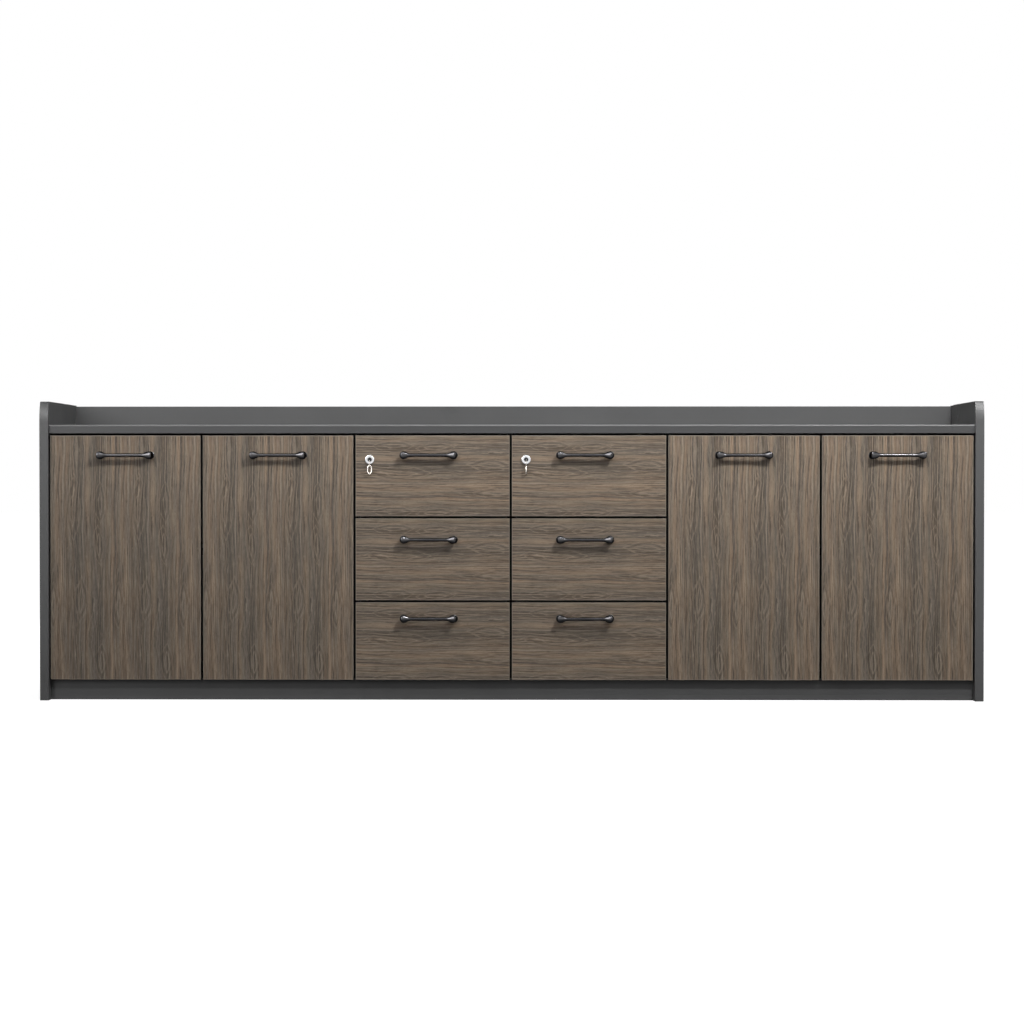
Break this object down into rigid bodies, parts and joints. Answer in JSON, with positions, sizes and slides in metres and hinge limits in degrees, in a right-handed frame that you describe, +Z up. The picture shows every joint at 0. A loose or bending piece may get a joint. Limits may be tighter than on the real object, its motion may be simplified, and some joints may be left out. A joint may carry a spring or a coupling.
{
  "type": "office credenza",
  "caption": "Long low office credenza: hinged door cupboards at both ends, locking drawer columns between them, bow handles, raised sides and back rail, plinth base.",
  "frame": {"origin": "on the floor, under the middle of the whole piece with its handles", "axes": "+X to the right along the length, +Y to the back, +Z up; the front faces -Y"},
  "size_m": [2.4, 0.418, 0.762],
  "materials": {
    "walnut_laminate": "matt laminate with a walnut print",
    "grey_laminate": "fine textured anthracite laminate",
    "carcass_melamine": "matt melamine",
    "drawer_melamine": "pale grey melamine",
    "back_hardboard": "painted hardboard",
    "gunmetal_handle": "black nickel plate",
    "lock_chrome": "bright chrome plate",
    "key_steel": "nickel plated",
    "zinc_steel": "zinc plated"
  },
  "bodies": {
    "carcass": {"side_panels": "grey_laminate", "top_panel": "grey_laminate", "gallery_back_rail": "grey_laminate", "bottom_panel": "carcass_melamine", "plinth_boards": "grey_laminate", "partitions": "carcass_melamine", "back_panels": "back_hardboard", "shelves": "carcass_melamine", "door_bay_fittings": "zinc_steel", "runner_rails": "zinc_steel"},
    "door_1": {"door_1_panel": "walnut_laminate", "door_1_hinge_cups": "zinc_steel", "door_1_handle": "gunmetal_handle"},
    "door_2": {"door_2_panel": "walnut_laminate", "door_2_hinge_cups": "zinc_steel", "door_2_handle": "gunmetal_handle"},
    "door_3": {"door_3_panel": "walnut_laminate", "door_3_hinge_cups": "zinc_steel", "door_3_handle": "gunmetal_handle"},
    "door_4": {"door_4_panel": "walnut_laminate", "door_4_hinge_cups": "zinc_steel", "door_4_handle": "gunmetal_handle"},
    "left_top_drawer": {"left_top_drawer_front": "walnut_laminate", "left_top_drawer_handle": "gunmetal_handle", "left_top_drawer_box": "drawer_melamine", "left_top_drawer_runners": "zinc_steel", "left_lock_barrel": "lock_chrome"},
    "left_top_middle_runner": {"left_top_drawer_middle_runners": "zinc_steel"},
    "left_middle_drawer": {"left_middle_drawer_front": "walnut_laminate", "left_middle_drawer_handle": "gunmetal_handle", "left_middle_drawer_box": "drawer_melamine", "left_middle_drawer_runners": "zinc_steel"},
    "left_middle_middle_runner": {"left_middle_drawer_middle_runners": "zinc_steel"},
    "left_bottom_drawer": {"left_bottom_drawer_front": "walnut_laminate", "left_bottom_drawer_handle": "gunmetal_handle", "left_bottom_drawer_box": "drawer_melamine", "left_bottom_drawer_runners": "zinc_steel"},
    "left_bottom_middle_runner": {"left_bottom_drawer_middle_runners": "zinc_steel"},
    "right_top_drawer": {"right_top_drawer_front": "walnut_laminate", "right_top_drawer_handle": "gunmetal_handle", "right_top_drawer_box": "drawer_melamine", "right_top_drawer_runners": "zinc_steel", "right_lock_barrel": "lock_chrome"},
    "right_top_middle_runner": {"right_top_drawer_middle_runners": "zinc_steel"},
    "right_middle_drawer": {"right_middle_drawer_front": "walnut_laminate", "right_middle_drawer_handle": "gunmetal_handle", "right_middle_drawer_box": "drawer_melamine", "right_middle_drawer_runners": "zinc_steel"},
    "right_middle_middle_runner": {"right_middle_drawer_middle_runners": "zinc_steel"},
    "right_bottom_drawer": {"right_bottom_drawer_front": "walnut_laminate", "right_bottom_drawer_handle": "gunmetal_handle", "right_bottom_drawer_box": "drawer_melamine", "right_bottom_drawer_runners": "zinc_steel"},
    "right_bottom_middle_runner": {"right_bottom_drawer_middle_runners": "zinc_steel"},
    "left_key": {"left_lock_plug": "key_steel"},
    "left_bow": {"left_key_bow": "key_steel"},
    "left_bar": {"left_locking_bar": "zinc_steel"},
    "right_key": {"right_lock_plug": "key_steel"},
    "right_bow": {"right_key_bow": "key_steel"},
    "right_bar": {"right_locking_bar": "zinc_steel"}
  },
  "joints": [
    {"name": "door_1_hinge", "type": "hinge", "parent": "carcass", "child": "door_1", "pos_m": [-1.167, -0.175, 0.364], "axis": [0, 0, -1], "range_deg": [0, 100]},
    {"name": "door_2_hinge", "type": "hinge", "parent": "carcass", "child": "door_2", "pos_m": [-0.40825, -0.175, 0.364], "axis": [0, 0, 1], "range_deg": [0, 90]},
    {"name": "door_3_hinge", "type": "hinge", "parent": "carcass", "child": "door_3", "pos_m": [0.40825, -0.175, 0.364], "axis": [0, 0, -1], "range_deg": [0, 90]},
    {"name": "door_4_hinge", "type": "hinge", "parent": "carcass", "child": "door_4", "pos_m": [1.167, -0.175, 0.364], "axis": [0, 0, 1], "range_deg": [0, 100]},
    {"name": "left_top_drawer_slide", "type": "slide", "parent": "carcass", "child": "left_top_drawer", "axis": [0, -1, 0], "range_m": [0, 0.3]},
    {"name": "left_top_middle_slide", "type": "slide", "parent": "carcass", "child": "left_top_middle_runner", "axis": [0, -1, 0], "range_m": [0, 0.15]},
    {"name": "left_middle_drawer_slide", "type": "slide", "parent": "carcass", "child": "left_middle_drawer", "axis": [0, -1, 0], "range_m": [0, 0.3]},
    {"name": "left_middle_middle_slide", "type": "slide", "parent": "carcass", "child": "left_middle_middle_runner", "axis": [0, -1, 0], "range_m": [0, 0.15]},
    {"name": "left_bottom_drawer_slide", "type": "slide", "parent": "carcass", "child": "left_bottom_drawer", "axis": [0, -1, 0], "range_m": [0, 0.3]},
    {"name": "left_bottom_middle_slide", "type": "slide", "parent": "carcass", "child": "left_bottom_middle_runner", "axis": [0, -1, 0], "range_m": [0, 0.15]},
    {"name": "left_key_turn", "type": "hinge", "parent": "left_top_drawer", "child": "left_key", "pos_m": [-0.35875, -0.187, 0.614], "axis": [0, 1, 0], "range_deg": [0, 90]},
    {"name": "left_key_fold", "type": "hinge", "parent": "left_key", "child": "left_bow", "pos_m": [-0.35875, -0.1916, 0.614], "axis": [-1, 0, 0], "range_deg": [0, 90]},
    {"name": "left_bar_lift", "type": "slide", "parent": "carcass", "child": "left_bar", "axis": [0, 0, 1], "range_m": [0, 0.0099]},
    {"name": "right_top_drawer_slide", "type": "slide", "parent": "carcass", "child": "right_top_drawer", "axis": [0, -1, 0], "range_m": [0, 0.3]},
    {"name": "right_top_middle_slide", "type": "slide", "parent": "carcass", "child": "right_top_middle_runner", "axis": [0, -1, 0], "range_m": [0, 0.15]},
    {"name": "right_middle_drawer_slide", "type": "slide", "parent": "carcass", "child": "right_middle_drawer", "axis": [0, -1, 0], "range_m": [0, 0.3]},
    {"name": "right_middle_middle_slide", "type": "slide", "parent": "carcass", "child": "right_middle_middle_runner", "axis": [0, -1, 0], "range_m": [0, 0.15]},
    {"name": "right_bottom_drawer_slide", "type": "slide", "parent": "carcass", "child": "right_bottom_drawer", "axis": [0, -1, 0], "range_m": [0, 0.3]},
    {"name": "right_bottom_middle_slide", "type": "slide", "parent": "carcass", "child": "right_bottom_middle_runner", "axis": [0, -1, 0], "range_m": [0, 0.15]},
    {"name": "right_key_turn", "type": "hinge", "parent": "right_top_drawer", "child": "right_key", "pos_m": [0.03925, -0.187, 0.614], "axis": [0, 1, 0], "range_deg": [0, 90]},
    {"name": "right_key_fold", "type": "hinge", "parent": "right_key", "child": "right_bow", "pos_m": [0.03925, -0.1916, 0.614], "axis": [-1, 0, 0], "range_deg": [0, 90]},
    {"name": "right_bar_lift", "type": "slide", "parent": "carcass", "child": "right_bar", "axis": [0, 0, 1], "range_m": [0, 0.0099]}
  ],
  "couplings": [
    {"joint": "left_top_middle_slide", "follows": "left_top_drawer_slide", "ratio": 0.5},
    {"joint": "left_middle_middle_slide", "follows": "left_middle_drawer_slide", "ratio": 0.5},
    {"joint": "left_bottom_middle_slide", "follows": "left_bottom_drawer_slide", "ratio": 0.5},
    {"joint": "left_key_turn", "follows": "left_bar_lift", "rad_per_m": 158.68},
    {"joint": "right_top_middle_slide", "follows": "right_top_drawer_slide", "ratio": 0.5},
    {"joint": "right_middle_middle_slide", "follows": "right_middle_drawer_slide", "ratio": 0.5},
    {"joint": "right_bottom_middle_slide", "follows": "right_bottom_drawer_slide", "ratio": 0.5},
    {"joint": "right_key_turn", "follows": "right_bar_lift", "rad_per_m": 158.68}
  ]
}
